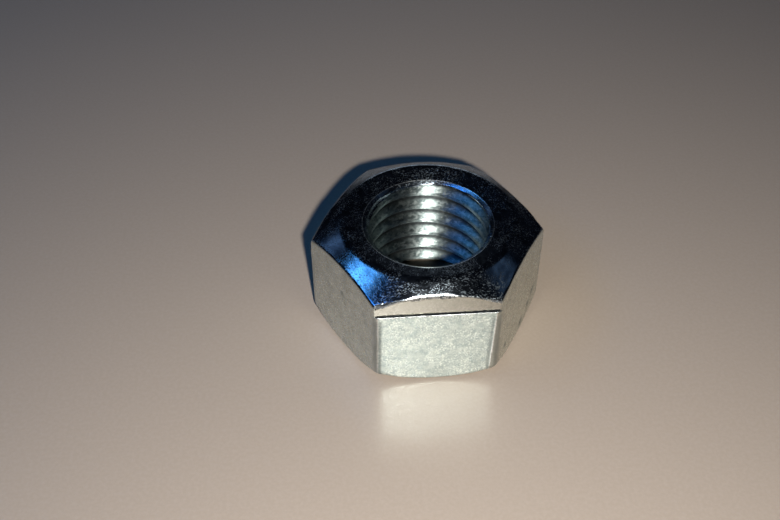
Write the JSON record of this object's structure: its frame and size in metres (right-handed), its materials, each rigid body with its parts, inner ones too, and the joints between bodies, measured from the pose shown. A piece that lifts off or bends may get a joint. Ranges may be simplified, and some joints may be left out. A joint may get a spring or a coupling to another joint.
{
  "type": "lock nut",
  "caption": "All-metal prevailing-torque hexagon lock nut with a coned top and pressed flats that pinch its thread.",
  "frame": {"origin": "centre of the flat bearing face, on the thread's axis", "axes": "+Z along the thread from the bearing face to the coned locking end; -Y faces out of one of the three pressed flats"},
  "size_m": [0.0326, 0.0286, 0.0171],
  "materials": {
    "zinc_steel": "zinc plated, mottled satin on the flats and glossy on the turned and pressed faces"
  },
  "bodies": {
    "root": {"lock_nut": "zinc_steel"}
  },
  "joints": []
}
